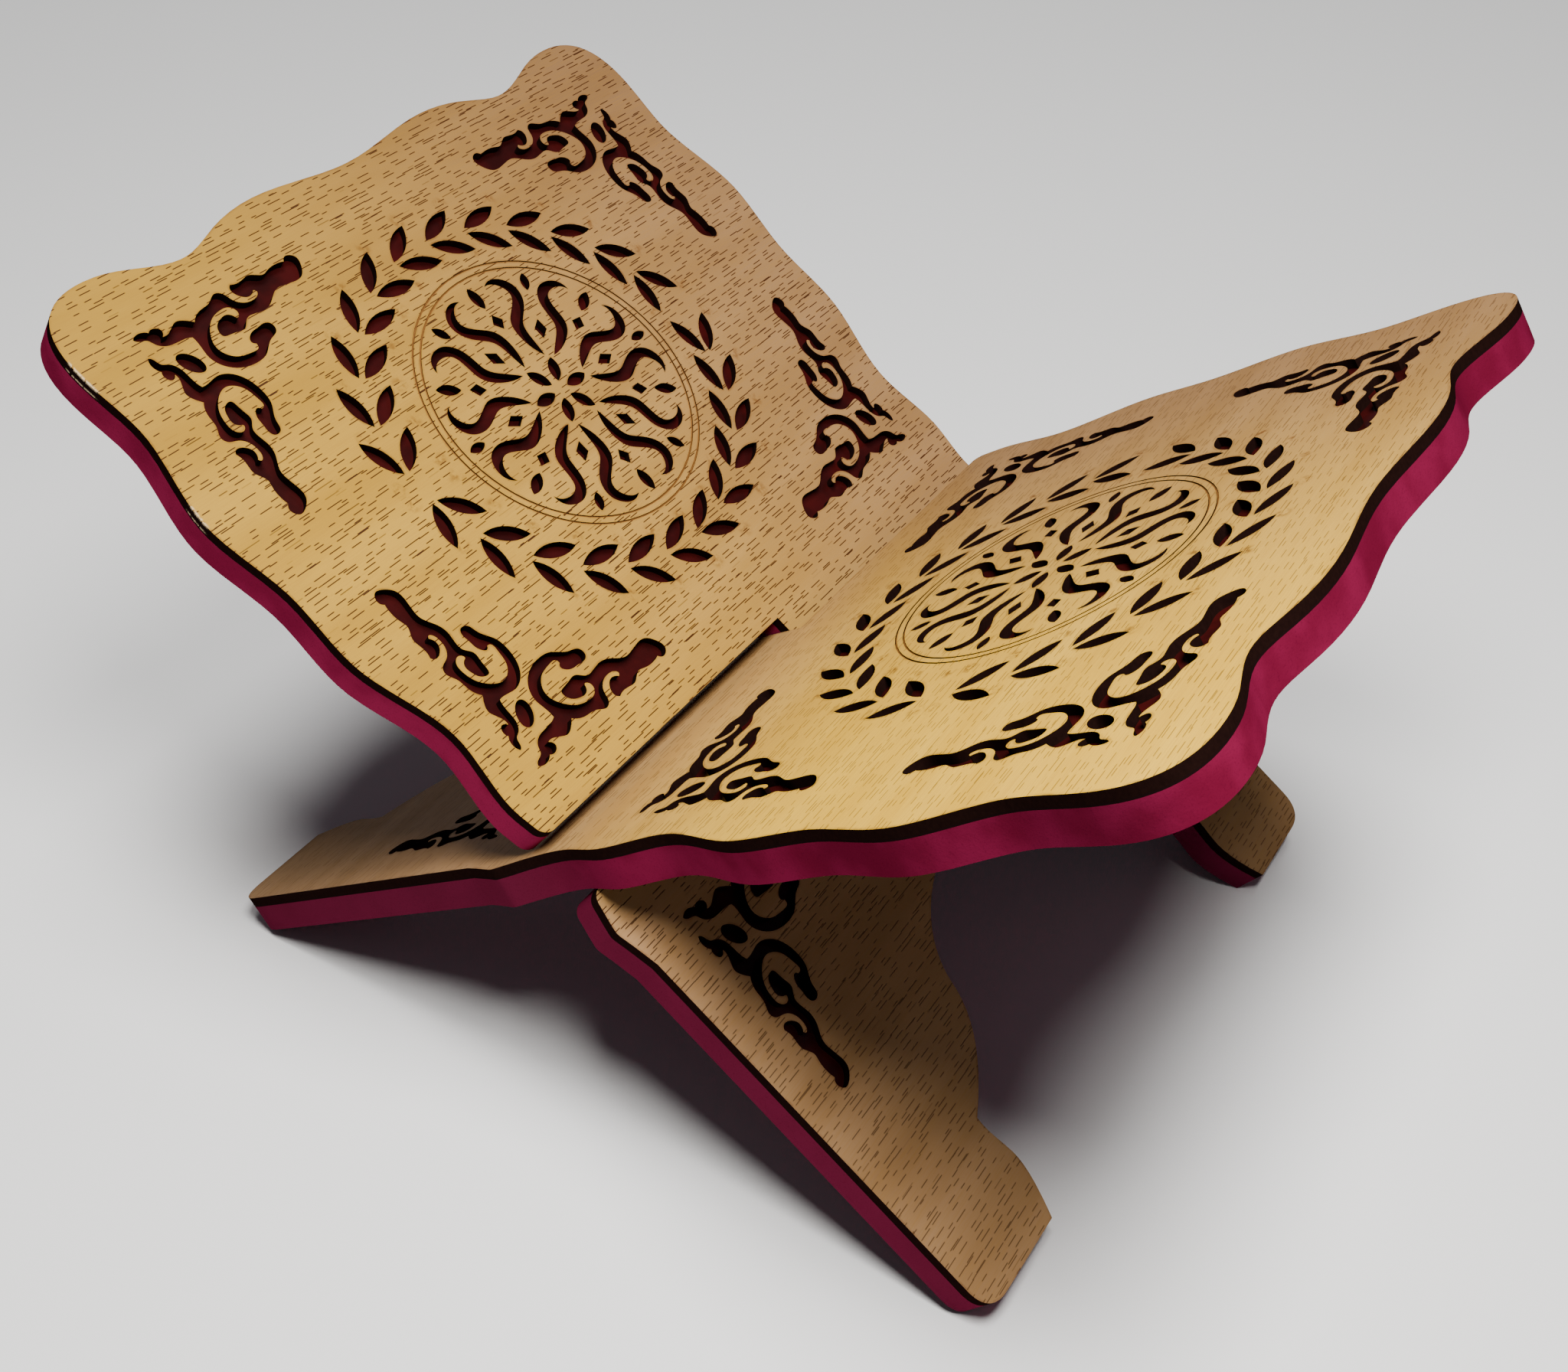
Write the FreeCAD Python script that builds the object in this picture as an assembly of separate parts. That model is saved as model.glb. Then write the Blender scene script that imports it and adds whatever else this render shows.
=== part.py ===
"""Folding book stand: two slotted boards crossed in an X, laser-cut fretwork faces.

World frame: Z up, Y along the crossing (front is -Y), origin on the floor under the crossing.
Board frame: x along the crossing, y up the book rest from the crease, z out of the visible face.
Each board is a core, a thin backing sheet and a fretwork face, glued in that order.
"""
import FreeCAD, Part
import math
import os

# Driving dimensions, millimetres and degrees
TILT = 34.8              # slope of both boards above the floor
CORE = 8.0               # painted core board
BACKING = 0.5            # glossy backing sheet behind the fretwork
FACE = 2.5               # veneered fretwork face
THICK = CORE + BACKING + FACE
LEG_LENGTH = 144.0       # crease to the end of the feet
LEG_HALF = 98.4          # mid-width to the outer edge of a foot
REST_CORNER = (102, 168.6)   # where the sides of a rounded corner of the book rest would meet
KINK = (98, -33.8)       # where the wavy edge meets the straight leg
FOOT_RADIUS = 8.0        # rounded outer corners of the feet
MOUTH_RADIUS = 3.5       # rounded corners at the mouth of the slot
SLOT_PLAY = 0.3          # free play on each side of the slot
CLEAR = 20.0             # how far the slot cutter reaches past the board
RING_Y = 85.5            # centre of the medallion above the crease
RING_RADIUS = 40.0       # outer engraved ring
RING_GAP = 2.0           # between the two engraved rings
GROOVE_WIDTH = 0.5
GROOVE_DEPTH = 0.35

# The slot is as wide as the other board needs when the stand is open at TILT.
AXIS_Y = -0.5 * THICK * math.tan(math.radians(TILT))
SLOT_HALF = 0.5 * THICK / math.tan(math.radians(TILT)) + SLOT_PLAY
CREASE_Z = LEG_LENGTH * math.sin(math.radians(TILT)) + THICK * math.cos(math.radians(TILT))

# One corner scroll, tip at (0, 0): distance along it, distance in from its outer line.
# Each row is one smooth stretch, and rows meet at the sharp corners of the outline.
SCROLL = [
    [(0.0, 0.8), (1.9, 0.0), (3.6, 0.4), (4.4, 1.0)],
    [(4.4, 1.0), (6.1, 0.6), (7.1, 1.2), (6.5, 3.4)],
    [(6.5, 3.4), (10.4, 2.2), (11.8, 1.7), (13.5, 2.2), (15.7, 3.9)],
    [(15.7, 3.9), (19.5, 2.0), (22.4, 1.5), (25.3, 0.2), (26.7, 0.9), (27.8, 3.6), (30.4, 5.8),
     (32.3, 6.0), (33.9, 5.6), (34.7, 4.7), (34.1, 3.9)],
    [(34.1, 3.9), (32.9, 4.7), (31.8, 4.8), (30.6, 4.2), (29.3, 1.3), (30.3, 0.1)],
    [(30.3, 0.1), (33.3, 0.5), (36.4, 0.2), (39.5, 1.7), (41.6, 1.2), (44.6, 0.9), (46.8, 1.3)],
    [(46.8, 1.3), (48.7, 0.3), (50.4, 1.6), (49.8, 4.4), (47.6, 6.7), (43.7, 6.8), (39.2, 6.5),
     (35.5, 8.7), (32.0, 9.5), (27.1, 9.3), (25.0, 11.0), (21.6, 10.8), (18.7, 10.0), (19.0, 8.0),
     (21.6, 6.2), (23.4, 6.0), (24.9, 7.3)],
    [(24.9, 7.3), (25.4, 8.0), (26.1, 7.6), (26.5, 6.4), (25.5, 4.8), (22.9, 4.4), (19.9, 5.2),
     (16.7, 8.0), (15.2, 12.4), (17.4, 15.8), (21.2, 16.9), (23.9, 16.6), (24.1, 15.6)],
    [(24.1, 15.6), (23.4, 14.7), (25.1, 12.8), (27.8, 12.4), (29.7, 12.2), (31.2, 13.0),
     (31.1, 15.1), (28.3, 16.4), (24.1, 19.1), (20.7, 19.7), (16.5, 18.9), (12.9, 16.0),
     (11.8, 12.9), (12.3, 8.8), (12.3, 6.9)],
    [(12.3, 6.9), (9.0, 6.2), (5.7, 5.8), (3.5, 4.0), (2.8, 2.6), (0.6, 1.6), (0.0, 0.8)],
]
# A corner holds two scrolls and an oval. For each scroll: start along it, length scale, depth scale.
CROSS_ARM = (1.2, 1.01, 1.0)
LONG_ARM = (6.2, 0.97, 0.89)
ROW_X = 85.7             # outer line of the long scrolls, from mid-width
# Outer line of the cross scrolls, and whether the long scrolls run up (+1) or down (-1) from it.
CORNERS = [(16.6, 1), (151.4, -1), (-30.0, -1)]
OVAL_FROM_CORNER = (8.4, 12.0)
OVAL_HALF = (3.6, 2.2)   # half length and half width
OVAL_TURN = 30.0         # degrees away from the board's length

# Wreath: pairs of leaves on two branches. Angles are in degrees from the foot of the wreath.
LEAF_LENGTH = 12.8
LEAF_WIDTH = 4.2
LEAF_PAIRS = 12
FIRST_PAIR = 5.0
PAIR_STEP = 14.4
STEM_RADIUS = 50.8       # from the centre of the medallion to the stem
STEM_OVAL = 2.0          # wider than round at the foot and the tip
STEM_SHIFT = 1.6         # wider at the foot than at the tip
# The outer and the inner leaf of a pair: base off the stem, lean, and change of lean per pair.
LEAVES = [(0.8, -22.0, 0.0), (-0.8, 38.0, -1.1)]

# Medallion: sectors that repeat round it, each with two mirrored curling strokes about its axis.
SECTORS = 6
# The two sides of a stroke: away from the middle, across the axis.
STROKE_OUTER = [(10.5, 1.4), (15.0, 6.3), (20.5, 8.1), (25.5, 6.2), (29.2, 5.6), (31.6, 8.0),
                (31.2, 12.4)]
STROKE_INNER = [(31.2, 12.4), (33.9, 8.2), (31.9, 3.6), (27.3, 2.3), (23.5, 3.4), (20.0, 4.6),
                (15.6, 3.5), (10.5, 1.4)]
# Petals: share of a sector off the axis, start, length, width.
PETALS = [(0.0, 2.6, 7.2, 3.4), (0.0, 30.6, 5.4, 2.6), (0.5, 28.2, 7.0, 3.2)]
# Diamonds: share of a sector off the axis, centre, half length, half width.
DIAMONDS = [(0.0, 18.6, 3.0, 1.8), (0.5, 23.6, 2.4, 1.8)]

# Half outlines, mid-width to edge: x is the distance from mid-width, y along the board.
END_WAVE = [(0, 165), (12, 166), (29, 168), (46, 165.7), (58, 162.4), (70, 165.2), (83.5, 168.2)]
SIDE_WAVE = [(101, 148.3), (99.6, 130.5), (104.2, 106.5), (101, 82.5), (101.4, 60.5), (95, 34.3),
             (97.4, 14), (95.7, 0), (100, -21.5), KINK]
FOOT_INNER = [(67.5, -LEG_LENGTH), (64, -135.5), (62.5, -127.5), (63.2, -121.5), (63.2, -115)]
ARCH_LOBES = [
    [(63.2, -115), (53.5, -108.7), (46, -101.5), (40.5, -89.8)],
    [(40.5, -89.8), (36.5, -81.5), (29.5, -74.8), (20, -69.8)],
    [(20, -69.8), (13, -67), (6, -62.6), (0, -55.8)],
]


def vec(x, y, z=0.0):
    return FreeCAD.Vector(x, y, z)


def smooth(points, first=None, last=None):
    """A smooth edge through the points, with its directions at both ends if they are given."""
    curve = Part.BSplineCurve()
    places = [vec(*p) for p in points]
    if first:
        curve.interpolate(Points=places, InitialTangent=vec(*first).normalize(),
                          FinalTangent=vec(*last).normalize())
    else:
        curve.interpolate(places)
    return curve.toShape()


def line(a, b):
    return Part.LineSegment(vec(*a), vec(*b)).toShape()


def corner_arc(a, corner, b):
    """A quarter-like curve from a to b that leaves each end towards the corner."""
    curve = Part.BezierCurve()
    curve.setPoles([vec(*a), vec(*corner), vec(*b)])
    return curve.toShape()


def mirrored(points, side):
    return [(side * x, y) for x, y in points]


def heading(a, b):
    return b[0] - a[0], b[1] - a[1]


def half_outline(side):
    """Edges of one half of the board, from mid-width at the top to mid-width at the arch."""
    end = mirrored(END_WAVE, side)
    wave = mirrored(SIDE_WAVE, side)
    rest_corner = (side * REST_CORNER[0], REST_CORNER[1])
    foot_out = (side * LEG_HALF, FOOT_RADIUS - LEG_LENGTH)
    foot_in = (side * (LEG_HALF - FOOT_RADIUS), -LEG_LENGTH)
    inner = mirrored(FOOT_INNER, side)
    edges = [
        smooth(end, (side, 0), heading(end[-1], rest_corner)),
        corner_arc(end[-1], rest_corner, wave[0]),
        smooth(wave, heading(rest_corner, wave[0]), heading(wave[-2], wave[-1])),
        line(wave[-1], foot_out),
        corner_arc(foot_out, (side * LEG_HALF, -LEG_LENGTH), foot_in),
        line(foot_in, inner[0]),
        smooth(inner),
    ]
    edges += [smooth(mirrored(lobe, side)) for lobe in ARCH_LOBES]
    return edges


def outline_face():
    edges = half_outline(1) + half_outline(-1)
    wire = Part.Wire(Part.__sortEdges__(edges))
    return Part.Face(wire)


def plate(face, z, depth):
    """One layer of a board, slotted from its left edge, with rounded corners where the slot opens."""
    top = AXIS_Y + SLOT_HALF
    bottom = AXIS_Y - SLOT_HALF
    far = LEG_HALF + CLEAR
    slot = Part.makeBox(far + 0.5 * SLOT_PLAY, top - bottom, depth, vec(-far, bottom))
    solid = face.extrude(vec(0, 0, depth)).cut(slot)
    mouth = []
    for edge in solid.Edges:
        if len(edge.Vertexes) != 2:
            continue
        a, b = (v.Point for v in edge.Vertexes)
        upright = abs(a.x - b.x) < 1e-6 and abs(a.y - b.y) < 1e-6
        on_slot = min(abs(a.y - top), abs(a.y - bottom)) < 1e-4
        if upright and on_slot and a.x < -0.5 * LEG_HALF:
            mouth.append(edge)
    solid = solid.makeFillet(MOUTH_RADIUS, mouth)
    solid.translate(vec(0, 0, z))
    return solid


def scroll_wire(origin, along, inward, arm):
    """One scroll of a corner: along and inward are unit directions from the corner."""
    start, length_scale, depth_scale = arm
    edges = []
    for row in SCROLL:
        points = []
        for a, b in row:
            run = start + a * length_scale
            rise = b * depth_scale
            points.append((origin[0] + run * along[0] + rise * inward[0],
                           origin[1] + run * along[1] + rise * inward[1]))
        edges.append(smooth(points))
    return Part.Wire(edges)


def oval_wire(origin, across, up):
    """The oval hole between the two scrolls of a corner."""
    turn = math.radians(OVAL_TURN)
    centre = vec(origin[0] + OVAL_FROM_CORNER[0] * across[0], origin[1] + OVAL_FROM_CORNER[1] * up[1])
    major = vec(across[0] * math.sin(turn), up[1] * math.cos(turn))
    minor = vec(0, 0, 1).cross(major)
    ellipse = Part.Ellipse(centre + major * OVAL_HALF[0], centre + minor * OVAL_HALF[1], centre)
    return Part.Wire(ellipse.toShape())


def corner_wires():
    """Scroll pairs and ovals in the corners of the book rest and below the crease on the legs."""
    wires = []
    for line_y, up_sign in CORNERS:
        for side in (-1, 1):
            origin = (side * ROW_X, line_y)
            across = (-side, 0)
            up = (0, up_sign)
            wires.append(scroll_wire(origin, across, up, CROSS_ARM))
            wires.append(scroll_wire(origin, up, across, LONG_ARM))
            wires.append(oval_wire(origin, across, up))
    return wires


def leaf_wire(base, direction, length=LEAF_LENGTH, width=LEAF_WIDTH):
    """A lens-shaped leaf from its base along a direction in radians."""
    along = vec(math.cos(direction), math.sin(direction))
    across = vec(-math.sin(direction), math.cos(direction))
    root = vec(*base)
    tip = root + along * length
    middle = root + along * (0.5 * length)
    left = Part.Arc(root, middle + across * (0.5 * width), tip).toShape()
    right = Part.Arc(tip, middle - across * (0.5 * width), root).toShape()
    return Part.Wire([left, right])


def wreath_wires(front):
    """Two branches of paired leaves round the ring, from the front edge to the back."""
    wires = []
    for branch in (-1, 1):
        for k in range(LEAF_PAIRS):
            turn = math.radians(FIRST_PAIR + PAIR_STEP * k)
            stem = STEM_RADIUS + STEM_OVAL * math.cos(turn) ** 2 + STEM_SHIFT * math.cos(turn)
            for offset, lean, lean_step in LEAVES:
                r = stem + offset
                base = (front * r * math.cos(turn), RING_Y + branch * r * math.sin(turn))
                tip = turn + math.radians(lean + lean_step * k)
                direction = math.atan2(branch * math.cos(tip), -front * math.sin(tip))
                wires.append(leaf_wire(base, direction))
    return wires


def turned(points, turn, flip=1):
    """Points given as (away from, across) a sector's axis, turned into the board frame."""
    c, s = math.cos(turn), math.sin(turn)
    return [(r * c - flip * q * s, RING_Y + r * s + flip * q * c) for r, q in points]


def diamond_wire(radius, turn, half_length, half_width):
    corners = [(radius - half_length, 0), (radius, half_width), (radius + half_length, 0),
               (radius, -half_width)]
    placed = turned(corners, turn)
    return Part.makePolygon([vec(*p) for p in placed + placed[:1]])


def petal_wire(radius, turn, length, width):
    """A lens-shaped petal that points away from the middle of the medallion."""
    return leaf_wire(turned([(radius, 0)], turn)[0], turn, length, width)


def medallion_wires():
    """A rosette of mirrored curling strokes with petals and diamonds inside the rings."""
    wires = []
    for k in range(SECTORS):
        sector = 2 * math.pi / SECTORS
        for flip in (-1, 1):
            sides = [smooth(turned(side, k * sector, flip)) for side in (STROKE_OUTER, STROKE_INNER)]
            wires.append(Part.Wire(sides))
        for share, radius, length, width in PETALS:
            wires.append(petal_wire(radius, (k + share) * sector, length, width))
        for share, radius, half_length, half_width in DIAMONDS:
            wires.append(diamond_wire(radius, (k + share) * sector, half_length, half_width))
    return wires


def groove(radius):
    """Cutter for an engraved ring in the visible face, which lies at z = 0."""
    low = vec(0, RING_Y, -GROOVE_DEPTH)
    outer = Part.makeCylinder(radius, 2 * GROOVE_DEPTH, low)
    inner = Part.makeCylinder(radius - GROOVE_WIDTH, 2 * GROOVE_DEPTH, low)
    return outer.cut(inner)


def fret_face(face, front):
    """The fretwork face: front is the side (+1 or -1 in x) that holds the foot of the wreath."""
    solid = plate(face, -FACE, FACE)
    wires = corner_wires() + wreath_wires(front) + medallion_wires()
    holes = []
    for wire in wires:
        hole = Part.Face(wire).extrude(vec(0, 0, 3 * FACE))
        hole.translate(vec(0, 0, -2 * FACE))
        holes.append(hole)
    solid = solid.cut(holes)
    for radius in (RING_RADIUS, RING_RADIUS - RING_GAP):
        solid = solid.cut(groove(radius))
    return solid


def to_world(shape, side):
    """Stand a board up: side +1 rests on the left, side -1 is the same board turned round."""
    c, s = math.cos(math.radians(TILT)), math.sin(math.radians(TILT))
    x_axis = vec(0, side, 0)
    y_axis = vec(-side * c, 0, s)
    z_axis = vec(side * s, 0, c)
    place = FreeCAD.Matrix(
        x_axis.x, y_axis.x, z_axis.x, 0,
        x_axis.y, y_axis.y, z_axis.y, 0,
        x_axis.z, y_axis.z, z_axis.z, CREASE_Z,
        0, 0, 0, 1)
    placed = shape.copy()
    placed.Placement = FreeCAD.Placement(place).multiply(shape.Placement)
    return placed


def main():
    os.makedirs("parts", exist_ok=True)
    face = outline_face()
    for name, side in (("left", 1), ("right", -1)):
        layers = {
            "core": plate(face, -THICK, CORE),
            "backing": plate(face, -THICK + CORE, BACKING),
            "fret_face": fret_face(face, -side),
        }
        for layer, shape in layers.items():
            node = "%s_%s" % (name, layer)
            placed = to_world(shape.Solids[0], side)
            placed.exportStep("parts/%s.step" % node)
            box = placed.BoundBox
            print(node, len(shape.Solids), placed.isValid(), round(placed.Volume),
                  [round(v, 2) for v in (box.XMin, box.YMin, box.ZMin, box.XMax, box.YMax, box.ZMax)])
    print("axis height", round(CREASE_Z + AXIS_Y * math.sin(math.radians(TILT))
                               - 0.5 * THICK * math.cos(math.radians(TILT)), 3))


main()
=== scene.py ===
import math

import bpy
from mathutils import Matrix, Vector

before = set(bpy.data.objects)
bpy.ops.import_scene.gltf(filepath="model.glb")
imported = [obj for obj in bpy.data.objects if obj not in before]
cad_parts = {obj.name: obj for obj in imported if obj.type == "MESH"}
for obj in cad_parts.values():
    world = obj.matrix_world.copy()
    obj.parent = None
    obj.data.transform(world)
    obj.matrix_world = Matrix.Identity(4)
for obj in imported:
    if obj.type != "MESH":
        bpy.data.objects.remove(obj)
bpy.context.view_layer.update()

# Board geometry, as the CAD has it, in millimetres unless it says otherwise
MM = 0.001                      # metres
TILT = math.radians(34.8)       # slope of both boards above the floor
LEG_LENGTH = 144.0              # crease to the end of the feet
THICK = 11.0                    # one board with all its layers
RING_Y = 85.5                   # centre of the medallion above the crease
CREASE_Z = LEG_LENGTH * math.sin(TILT) + THICK * math.cos(TILT)
# Unit directions up each board's book rest, and out of its visible face
SLOPE = {"left": (-math.cos(TILT), 0.0, math.sin(TILT)), "right": (math.cos(TILT), 0.0, math.sin(TILT))}
FACING = {"left": (math.sin(TILT), 0.0, math.cos(TILT)), "right": (-math.sin(TILT), 0.0, math.cos(TILT))}


class Nodes:
    """A short way to write shader node trees."""

    def __init__(self, name):
        self.material = bpy.data.materials.new(name)
        self.material.use_nodes = True
        self.tree = self.material.node_tree
        self.shader = self.tree.nodes["Principled BSDF"]

    def add(self, kind, **settings):
        node = self.tree.nodes.new(kind)
        for key, value in settings.items():
            setattr(node, key, value)
        return node

    def link(self, value, socket):
        if isinstance(value, bpy.types.NodeSocket):
            self.tree.links.new(value, socket)
        else:
            socket.default_value = value

    def math(self, operation, a, b=0.0, c=0.0):
        node = self.add("ShaderNodeMath", operation=operation)
        for value, socket in zip((a, b, c), node.inputs):
            self.link(value, socket)
        return node.outputs[0]

    def hypot(self, a, b):
        squares = self.math("ADD", self.math("MULTIPLY", a, a), self.math("MULTIPLY", b, b))
        return self.math("SQRT", squares)

    def dot(self, a, b):
        node = self.add("ShaderNodeVectorMath", operation="DOT_PRODUCT")
        self.link(a, node.inputs[0])
        self.link(b, node.inputs[1])
        return node.outputs["Value"]

    def vector(self, x, y, z=0.0):
        node = self.add("ShaderNodeCombineXYZ")
        for value, socket in zip((x, y, z), node.inputs):
            self.link(value, socket)
        return node.outputs[0]

    def noise(self, vector, scale=1.0, detail=2.0, roughness=0.5):
        node = self.add("ShaderNodeTexNoise")
        self.link(vector, node.inputs["Vector"])
        node.inputs["Scale"].default_value = scale
        node.inputs["Detail"].default_value = detail
        node.inputs["Roughness"].default_value = roughness
        return node.outputs["Fac"]

    def step(self, value, low, high, to_low=0.0, to_high=1.0):
        """Smooth step of a value from to_low at low to to_high at high."""
        node = self.add("ShaderNodeMapRange", interpolation_type="SMOOTHSTEP")
        for key, given in (("Value", value), ("From Min", low), ("From Max", high),
                           ("To Min", to_low), ("To Max", to_high)):
            self.link(given, node.inputs[key])
        return node.outputs["Result"]

    def mix(self, factor, a, b):
        node = self.add("ShaderNodeMix", data_type="RGBA")
        self.link(factor, node.inputs["Factor"])
        self.link(a, node.inputs["A"])
        self.link(b, node.inputs["B"])
        return node.outputs["Result"]

    def bump(self, height, distance, strength):
        node = self.add("ShaderNodeBump")
        node.inputs["Strength"].default_value = strength
        node.inputs["Distance"].default_value = distance
        self.link(height, node.inputs["Height"])
        return node.outputs["Normal"]

    def board_frame(self, side):
        """Millimetres along the crossing, up the board and out of its face, and how far it faces out."""
        place = self.add("ShaderNodeTexCoord")
        at = place.outputs["Object"]
        across = self.math("MULTIPLY", self.dot(at, (0.0, 1.0, 0.0)), 1.0 / MM)
        up = self.math("MULTIPLY_ADD", self.dot(at, SLOPE[side]), 1.0 / MM, -CREASE_Z * SLOPE[side][2])
        out = self.math("MULTIPLY_ADD", self.dot(at, FACING[side]), 1.0 / MM, -CREASE_Z * FACING[side][2])
        facing = self.dot(place.outputs["Normal"], FACING[side])
        return across, up, out, facing


def rgb(r, g, b):
    """An sRGB colour, 0 to 255, as linear RGBA."""
    out = []
    for c in (r, g, b):
        c /= 255.0
        out.append(c / 12.92 if c <= 0.04045 else ((c + 0.055) / 1.055) ** 2.4)
    return (*out, 1.0)


# Beech veneer. For each board: seed of the grain, the pale and the deep tone (the right board's set
# lighter as painted light), the strength of its flecks, how far above the crease in mm the browner veneer
# and painted shade of the legs begin, and how much painted shade darkens the wavy end
BEECH = {
    "left": (3.0, rgb(183, 142, 49), rgb(166, 126, 38), 1.0, 12.0, 0.22),
    "right": (41.0, rgb(219, 174, 56), rgb(205, 159, 44), 0.55, 80.0, 0.0),
}
BAND_SCALE = (0.012, 0.07)      # noise cells per mm along the grain and across it
FIBRE_SCALE = (0.09, 2.6)
GRAIN_RELIEF = (0.06, 0.5)      # height in mm and strength, as for the other reliefs
# Tones of browner veneer and painted shade on the legs and in the right board's crease, also used towards
# the rear
BROWN_SHADE_DEEP = rgb(147, 112, 74)
BROWN_SHADE_PALE = rgb(162, 126, 88)
LEG_SHADE_FULL = -25.0                # height in mm where the browner veneer and painted shade are full, as on the legs
SHADE_TOWARDS_REAR = (-90.0, 110.0)           # painted shade: the veneer turns browner and darker between these places along the crossing, mm
# Tone and strength of the painted shade towards the rear
REAR_PAINTED_SHADE = rgb(84, 52, 26)
REAR_SHADE_DEPTH = 0.3
WAVY_END_SHADE = (80.0, 165.0)             # heights in mm between which painted shade darkens the wavy end
FIBRE = rgb(150, 108, 40)
FIBRE_DEPTH = 0.25
FIBRE_RISE = 0.25               # height of the fibres beside the depth of a fleck
# Flecks. Each cell holds one: its size up the board and along the grain, the fleck's half width and the
# shift of the cells, in mm, and the share of cells that have one
FLECKS = [(1.5, 5.8, 0.15, 0.0, 0.85), (2.3, 8.5, 0.15, 31.7, 0.4)]
FLECK = rgb(58, 30, 12)
FLECK_SCATTER = 0.75
FLECK_REACH = (0.16, 0.25)      # shortest half length and what is added at most, as shares of the cell
LEG_FLECKS = (-70.0, 10.0, 0.7)   # the flecks fade between these heights in mm, to this share

# Burns at the tips of the leaves: degrees from the foot of the wreath, and distance from its centre in mm
LEAF_TIPS = [(16.6, 59.6), (18.1, 44.4)]
LEAF_STEP = 14.4                # degrees from one pair of leaves to the next
TIP_SPOT = (0.4, 3.0)           # distances in mm between which a burn fades
TIP_DEPTH = {"left": 0.6, "right": 0.8}
SCORCH = rgb(92, 52, 20)
SCORCH_RADIUS = {"left": 1.2, "right": 1.6}   # reach of the scorched halo round the cuts, mm
SCORCH_DEPTH = 0.7
CHAR = (rgb(18, 9, 8), rgb(32, 17, 14))
CHAR_SCALE = (1.3, 1.3)
GROOVE = (rgb(96, 58, 24), rgb(124, 82, 36))
GROOVE_FLOOR = (-0.15, -0.04)   # depths in mm between which the veneer gives way to the groove's tone

VENEER_COAT = (0.25, 0.5)       # weight and roughness of the clear coat, as for the backing's

# Knocks in the left board's front edge: heights above the crease, and the band along the crossing, mm
KNOCKS = [(104.5, 112.5), (143.0, 154.0)]
KNOCK_BAND = (-96.5, -99.0)
KNOCK_ENDS = 2.0
KNOCK = rgb(214, 190, 152)

# Plum paint. For each board its two tones, the left board's lighter as painted light, then the tone of
# the legs, darker as painted shade, the speckle and the underside
PLUM = {"left": (rgb(118, 22, 54), rgb(136, 30, 66)), "right": (rgb(96, 15, 41), rgb(114, 22, 54))}
PLUM_LEG_SHADE = rgb(90, 24, 47)
PLUM_SPECKLE = rgb(62, 2, 24)
PLUM_UNDER = rgb(52, 12, 24)
PAINT_RELIEF = (0.12, 0.45)

# Glossy backing: its two tones, and that of its edge and underside
BACKING = (rgb(36, 8, 8), rgb(54, 11, 11))
BACKING_EDGE = rgb(24, 13, 13)
BACKING_COAT = (0.6, 0.22)
BACKING_RELIEF = (0.15, 0.3)

# How far a normal has to face out of the board for a surface to count as its visible face
FLAT = (0.6, 0.9)


def stretched(n, across, up, scale, third):
    """Noise coordinates with their own scale along the grain and across it."""
    return n.vector(n.math("MULTIPLY", across, scale[0]), n.math("MULTIPLY", up, scale[1]), third)


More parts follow.
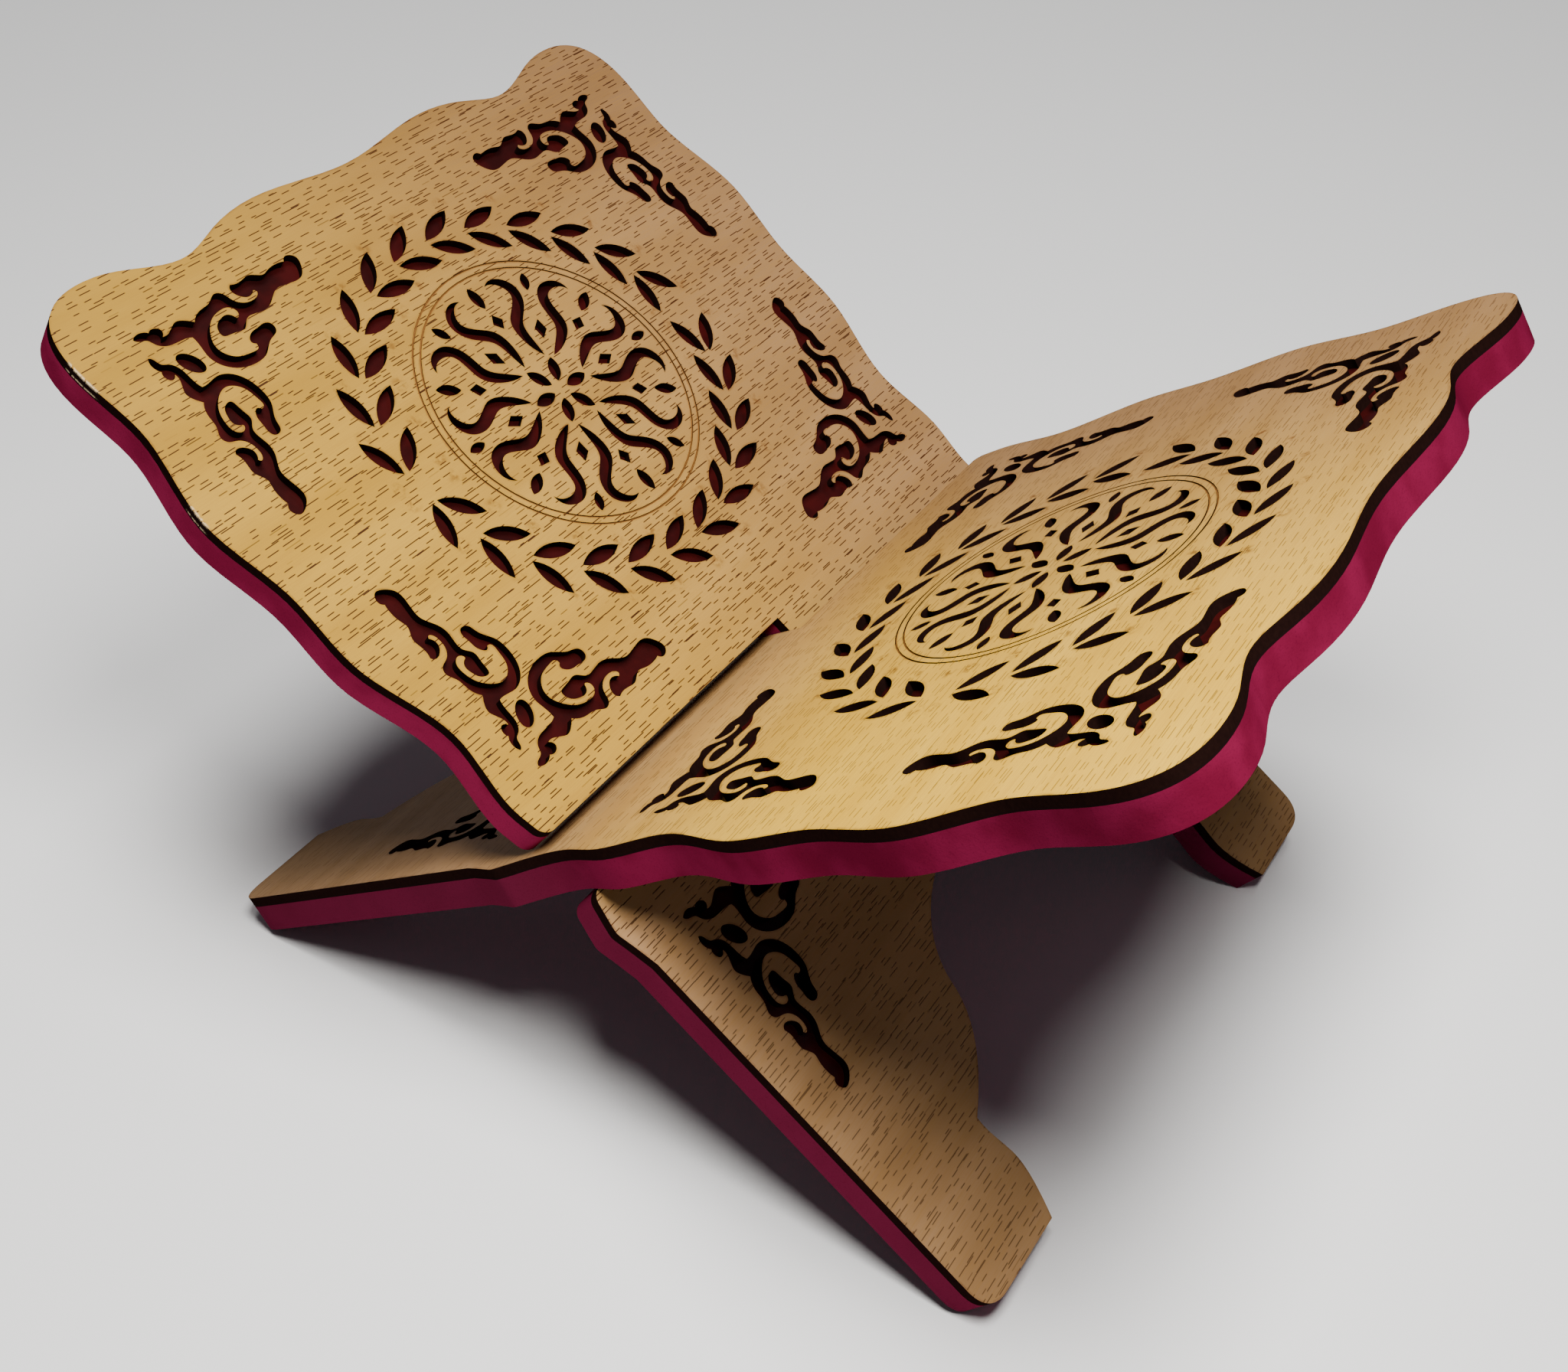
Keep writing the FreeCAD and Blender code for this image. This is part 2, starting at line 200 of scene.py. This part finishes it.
def beech(n, across, up, seed, pale, deep, depth, brown_shade_start, end_shade):
    """Colour and height of beech veneer with its grain and flecks along the crossing, with browner legs
    and painted shade on the legs, towards the rear and at the wavy end.
    """
    broad = n.noise(stretched(n, across, up, BAND_SCALE, seed), 1.0, 3.0)
    fibre = n.noise(stretched(n, across, up, FIBRE_SCALE, seed), 1.0, 3.0)
    bands = n.step(broad, 0.3, 0.7)
    colour = n.mix(bands, deep, pale)
    brown_shade = n.mix(bands, BROWN_SHADE_DEEP, BROWN_SHADE_PALE)
    # Painted shade: browner below the crease and towards the rear, darker towards the rear and the wavy
    # end; on the legs partly a browner veneer
    rear_shade = n.step(across, *SHADE_TOWARDS_REAR)
    colour = n.mix(n.math("MAXIMUM", n.step(up, brown_shade_start, LEG_SHADE_FULL), rear_shade), colour, brown_shade)
    shade_dim = n.math("MULTIPLY_ADD", rear_shade, REAR_SHADE_DEPTH, n.step(up, *WAVY_END_SHADE, 0.0, end_shade))
    colour = n.mix(shade_dim, colour, REAR_PAINTED_SHADE)
    colour = n.mix(n.step(fibre, 0.35, 0.75, 0.0, FIBRE_DEPTH), colour, FIBRE)
    marks = None
    for cell_up, cell_across, width, shift, share in FLECKS:
        grid = n.vector(n.math("MULTIPLY_ADD", up, 1.0 / cell_up, shift),
                        n.math("MULTIPLY_ADD", across, 1.0 / cell_across, seed))
        cells = n.add("ShaderNodeTexVoronoi", voronoi_dimensions="2D", feature="F1")
        n.link(grid, cells.inputs["Vector"])
        cells.inputs["Scale"].default_value = 1.0
        cells.inputs["Randomness"].default_value = FLECK_SCATTER
        away = n.add("ShaderNodeVectorMath", operation="SUBTRACT")
        n.link(grid, away.inputs[0])
        n.link(cells.outputs["Position"], away.inputs[1])
        parts = n.add("ShaderNodeSeparateXYZ")
        n.link(away.outputs[0], parts.inputs[0])
        pick = n.add("ShaderNodeSeparateColor")
        n.link(cells.outputs["Color"], pick.inputs[0])
        aside = n.math("ABSOLUTE", n.math("MULTIPLY", parts.outputs[0], cell_up))
        along = n.math("ABSOLUTE", n.math("MULTIPLY", parts.outputs[1], cell_across))
        shortest, longer = FLECK_REACH
        reach = n.math("MULTIPLY_ADD", pick.outputs[0], longer * cell_across, shortest * cell_across)
        thin = n.step(aside, width * 0.7, width, 1.0, 0.0)
        short = n.step(n.math("SUBTRACT", along, reach), -0.4, 0.1, 1.0, 0.0)
        chosen = n.step(pick.outputs[1], share - 0.1, share, 1.0, 0.0)
        dash = n.math("MULTIPLY", n.math("MULTIPLY", thin, short), chosen)
        marks = dash if marks is None else n.math("MAXIMUM", marks, dash)
    low, high, share_left = LEG_FLECKS
    strength = n.step(up, low, high, share_left * depth, depth)
    colour = n.mix(n.math("MULTIPLY", marks, strength), colour, FLECK)
    height = n.math("SUBTRACT", n.math("MULTIPLY", fibre, FIBRE_RISE), marks)
    return colour, height


def tip_burns(n, across, up):
    """Small laser burns round the tips of the leaves of the wreath, whose foot is at the front."""
    rise = n.math("SUBTRACT", up, RING_Y)
    radius = n.hypot(rise, across)
    turn = n.math("ARCTAN2", n.math("ABSOLUTE", rise), n.math("MULTIPLY", across, -1.0))
    half_step = math.radians(0.5 * LEAF_STEP)
    burns = None
    for degrees, reach in LEAF_TIPS:
        off = n.math("WRAP", n.math("SUBTRACT", turn, math.radians(degrees)), half_step, -half_step)
        along = n.math("MULTIPLY", off, radius)
        aside = n.math("SUBTRACT", radius, reach)
        away = n.hypot(along, aside)
        spot = n.step(away, *TIP_SPOT, 1.0, 0.0)
        burns = spot if burns is None else n.math("MAXIMUM", burns, spot)
    ragged = n.noise(n.vector(across, up), 0.5, 3.0, 0.6)
    return n.math("MULTIPLY", burns, n.step(ragged, 0.4, 0.65))


def knocks(n, across, up, edge):
    """Pale knocks in the front edge of the left board, as a mask near the edge."""
    front = n.step(across, *KNOCK_BAND)
    wanted = None
    for low, high in KNOCKS:
        inside = n.math("MULTIPLY", n.step(up, low, low + KNOCK_ENDS),
                        n.step(up, high - KNOCK_ENDS, high, 1.0, 0.0))
        wanted = inside if wanted is None else n.math("MAXIMUM", wanted, inside)
    rough = n.noise(n.vector(across, up), 0.9, 4.0, 0.7)
    chipped = n.math("MULTIPLY", edge, n.step(rough, 0.42, 0.52))
    return n.math("MULTIPLY", n.math("MULTIPLY", wanted, front), chipped)


def fret_material(side):
    n = Nodes("beech_veneer_" + side)
    across, up, out, facing = n.board_frame(side)
    spot = n.vector(across, up, out)
    colour, height = beech(n, across, up, *BEECH[side])
    soft = n.add("ShaderNodeBevel", samples=6)
    soft.inputs["Radius"].default_value = SCORCH_RADIUS[side] * MM
    geometry = n.add("ShaderNodeNewGeometry")
    turned = n.math("SUBTRACT", 1.0, n.dot(soft.outputs[0], geometry.outputs["True Normal"]))
    edge = n.step(turned, 0.0, 0.09)
    ragged = n.noise(n.vector(across, up), 0.16, 3.0, 0.6)
    halo = n.math("MULTIPLY", edge, n.step(ragged, 0.4, 0.68, 0.1, 0.9))
    smoke = n.math("MULTIPLY", tip_burns(n, across, up), TIP_DEPTH[side])
    colour = n.mix(n.math("MAXIMUM", smoke, n.math("MULTIPLY", halo, SCORCH_DEPTH)), colour, SCORCH)
    top = n.step(facing, *FLAT)
    surface = n.step(out, *GROOVE_FLOOR)
    char_noise = n.noise(stretched(n, across, up, CHAR_SCALE, out), 1.0, 3.0)
    char = n.mix(char_noise, *CHAR)
    groove = n.mix(char_noise, *GROOVE)
    whole = n.mix(top, char, n.mix(surface, groove, colour))
    if side == "left":
        whole = n.mix(knocks(n, across, up, edge), whole, KNOCK)
    n.link(whole, n.shader.inputs["Base Color"])
    n.link(n.math("MULTIPLY_ADD", n.noise(spot, 0.6, 3.0), 0.16, 0.46), n.shader.inputs["Roughness"])
    relief, strength = GRAIN_RELIEF
    n.link(n.bump(n.math("MULTIPLY", height, top), relief * MM, strength), n.shader.inputs["Normal"])
    n.shader.inputs["Specular IOR Level"].default_value = 0.0
    n.link(n.math("MULTIPLY", top, VENEER_COAT[0]), n.shader.inputs["Coat Weight"])
    n.shader.inputs["Coat Roughness"].default_value = VENEER_COAT[1]
    return n.material


def core_material(side):
    n = Nodes("plum_paint_" + side)
    across, up, out, facing = n.board_frame(side)
    spot = n.vector(across, up, out)
    patches = n.noise(spot, 0.06, 3.0)
    speckle = n.noise(spot, 2.4, 3.0, 0.6)
    # Painted light: the left board's paint is set lighter than the right's
    colour = n.mix(n.step(patches, 0.35, 0.65), *PLUM[side])
    # Painted shade: the paint darkens below the crease, on the legs under the rests
    colour = n.mix(n.step(up, 20.0, -20.0, 0.0, 0.8), colour, PLUM_LEG_SHADE)
    colour = n.mix(n.step(speckle, 0.5, 0.8, 0.0, 0.35), colour, PLUM_SPECKLE)
    colour = n.mix(n.step(facing, -FLAT[0], -FLAT[1], 0.0, 0.8), colour, PLUM_UNDER)
    n.link(colour, n.shader.inputs["Base Color"])
    n.link(n.math("MULTIPLY_ADD", speckle, 0.25, 0.45), n.shader.inputs["Roughness"])
    n.shader.inputs["Specular IOR Level"].default_value = 0.0
    relief, strength = PAINT_RELIEF
    n.link(n.bump(n.noise(spot, 1.1, 4.0, 0.6), relief * MM, strength), n.shader.inputs["Normal"])
    return n.material


def backing_material(side):
    n = Nodes("dark_red_gloss_" + side)
    across, up, out, facing = n.board_frame(side)
    spot = n.vector(across, up, out)
    cloud = n.noise(spot, 0.12, 3.0)
    colour = n.mix(n.step(cloud, 0.3, 0.7), *BACKING)
    flat = n.step(facing, *FLAT)
    n.link(n.mix(flat, BACKING_EDGE, colour), n.shader.inputs["Base Color"])
    n.link(n.math("MULTIPLY_ADD", n.noise(spot, 0.8, 2.0), 0.12, 0.2), n.shader.inputs["Roughness"])
    n.shader.inputs["Specular IOR Level"].default_value = 0.0
    n.link(n.math("MULTIPLY", flat, BACKING_COAT[0]), n.shader.inputs["Coat Weight"])
    n.shader.inputs["Coat Roughness"].default_value = BACKING_COAT[1]
    relief, strength = BACKING_RELIEF
    n.link(n.bump(n.noise(spot, 0.25, 2.0), relief * MM, strength), n.shader.inputs["Normal"])
    return n.material


def dress(node, material):
    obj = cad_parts[node]
    obj.data.materials.clear()
    obj.data.materials.append(material)


def dress_boards():
    for side in ("left", "right"):
        dress(side + "_fret_face", fret_material(side))
        dress(side + "_core", core_material(side))
        dress(side + "_backing", backing_material(side))


# The room, metres and watts: place, target, size, power and colour of each light
FLOOR_SIZE = 8.0
FLOOR = (rgb(247, 247, 247), rgb(251, 251, 251))
LIGHTS = {
    "key": ((0.16, -0.162, 0.58), (0.02, -0.02, 0.1), 0.2, 4.1, (1.0, 0.98, 0.95)),
    "top": ((0.1, 0.0, 2.2), (0, 0, 0.1), 0.8, 46.0, (1.0, 0.99, 0.97)),
}
AMBIENT = (0.92, 0.97, 1.08, 1.0)
AMBIENT_STRENGTH = 0.055
BACKDROP = (0.95, 0.97, 1.0, 1.0)
# Camera: where it is, which way is right and which is ahead of it, and its lens in mm
CAMERA_AT = (0.19934, -0.31764, 0.38658)
CAMERA_RIGHT = (0.84178, 0.53976, 0.00797)
CAMERA_AHEAD = (-0.40943, 0.64801, -0.64222)
LENS = 42.27
SENSOR = 36.0


def floor():
    bpy.ops.mesh.primitive_plane_add(size=FLOOR_SIZE, location=(0, 0, 0))
    plane = bpy.context.object
    plane.name = "floor"
    n = Nodes("pale_floor")
    grain = n.noise(n.add("ShaderNodeTexCoord").outputs["Object"], 3.0, 2.0)
    n.link(n.mix(grain, *FLOOR), n.shader.inputs["Base Color"])
    n.shader.inputs["Roughness"].default_value = 0.9
    plane.data.materials.append(n.material)


def area_light(name, place, target, size, power, colour):
    data = bpy.data.lights.new(name, "AREA")
    data.shape = "DISK"
    data.size = size
    data.energy = power
    data.color = colour
    light = bpy.data.objects.new(name, data)
    bpy.context.scene.collection.objects.link(light)
    light.location = place
    light.rotation_euler = (Vector(target) - Vector(place)).to_track_quat("-Z", "Y").to_euler()


def lights():
    for name, settings in LIGHTS.items():
        area_light(name, *settings)
    world = bpy.data.worlds.new("studio")
    world.use_nodes = True
    tree = world.node_tree
    ambient = tree.nodes["Background"]
    ambient.inputs["Color"].default_value = AMBIENT
    ambient.inputs["Strength"].default_value = AMBIENT_STRENGTH
    backdrop = tree.nodes.new("ShaderNodeBackground")
    backdrop.inputs["Color"].default_value = BACKDROP
    rays = tree.nodes.new("ShaderNodeLightPath")
    choice = tree.nodes.new("ShaderNodeMixShader")
    tree.links.new(rays.outputs["Is Camera Ray"], choice.inputs["Fac"])
    tree.links.new(ambient.outputs[0], choice.inputs[1])
    tree.links.new(backdrop.outputs[0], choice.inputs[2])
    tree.links.new(choice.outputs[0], tree.nodes["World Output"].inputs["Surface"])
    bpy.context.scene.world = world


def camera():
    data = bpy.data.cameras.new("view")
    data.lens = LENS
    data.sensor_width = SENSOR
    data.clip_start = 0.01
    obj = bpy.data.objects.new("view", data)
    bpy.context.scene.collection.objects.link(obj)
    ahead = Vector(CAMERA_AHEAD).normalized()
    up = Vector(CAMERA_RIGHT).cross(ahead).normalized()
    right = ahead.cross(up)
    turn = Matrix((right, up, -ahead)).transposed()
    obj.matrix_world = Matrix.Translation(CAMERA_AT) @ turn.to_4x4()
    bpy.context.scene.camera = obj


dress_boards()
floor()
lights()
camera()
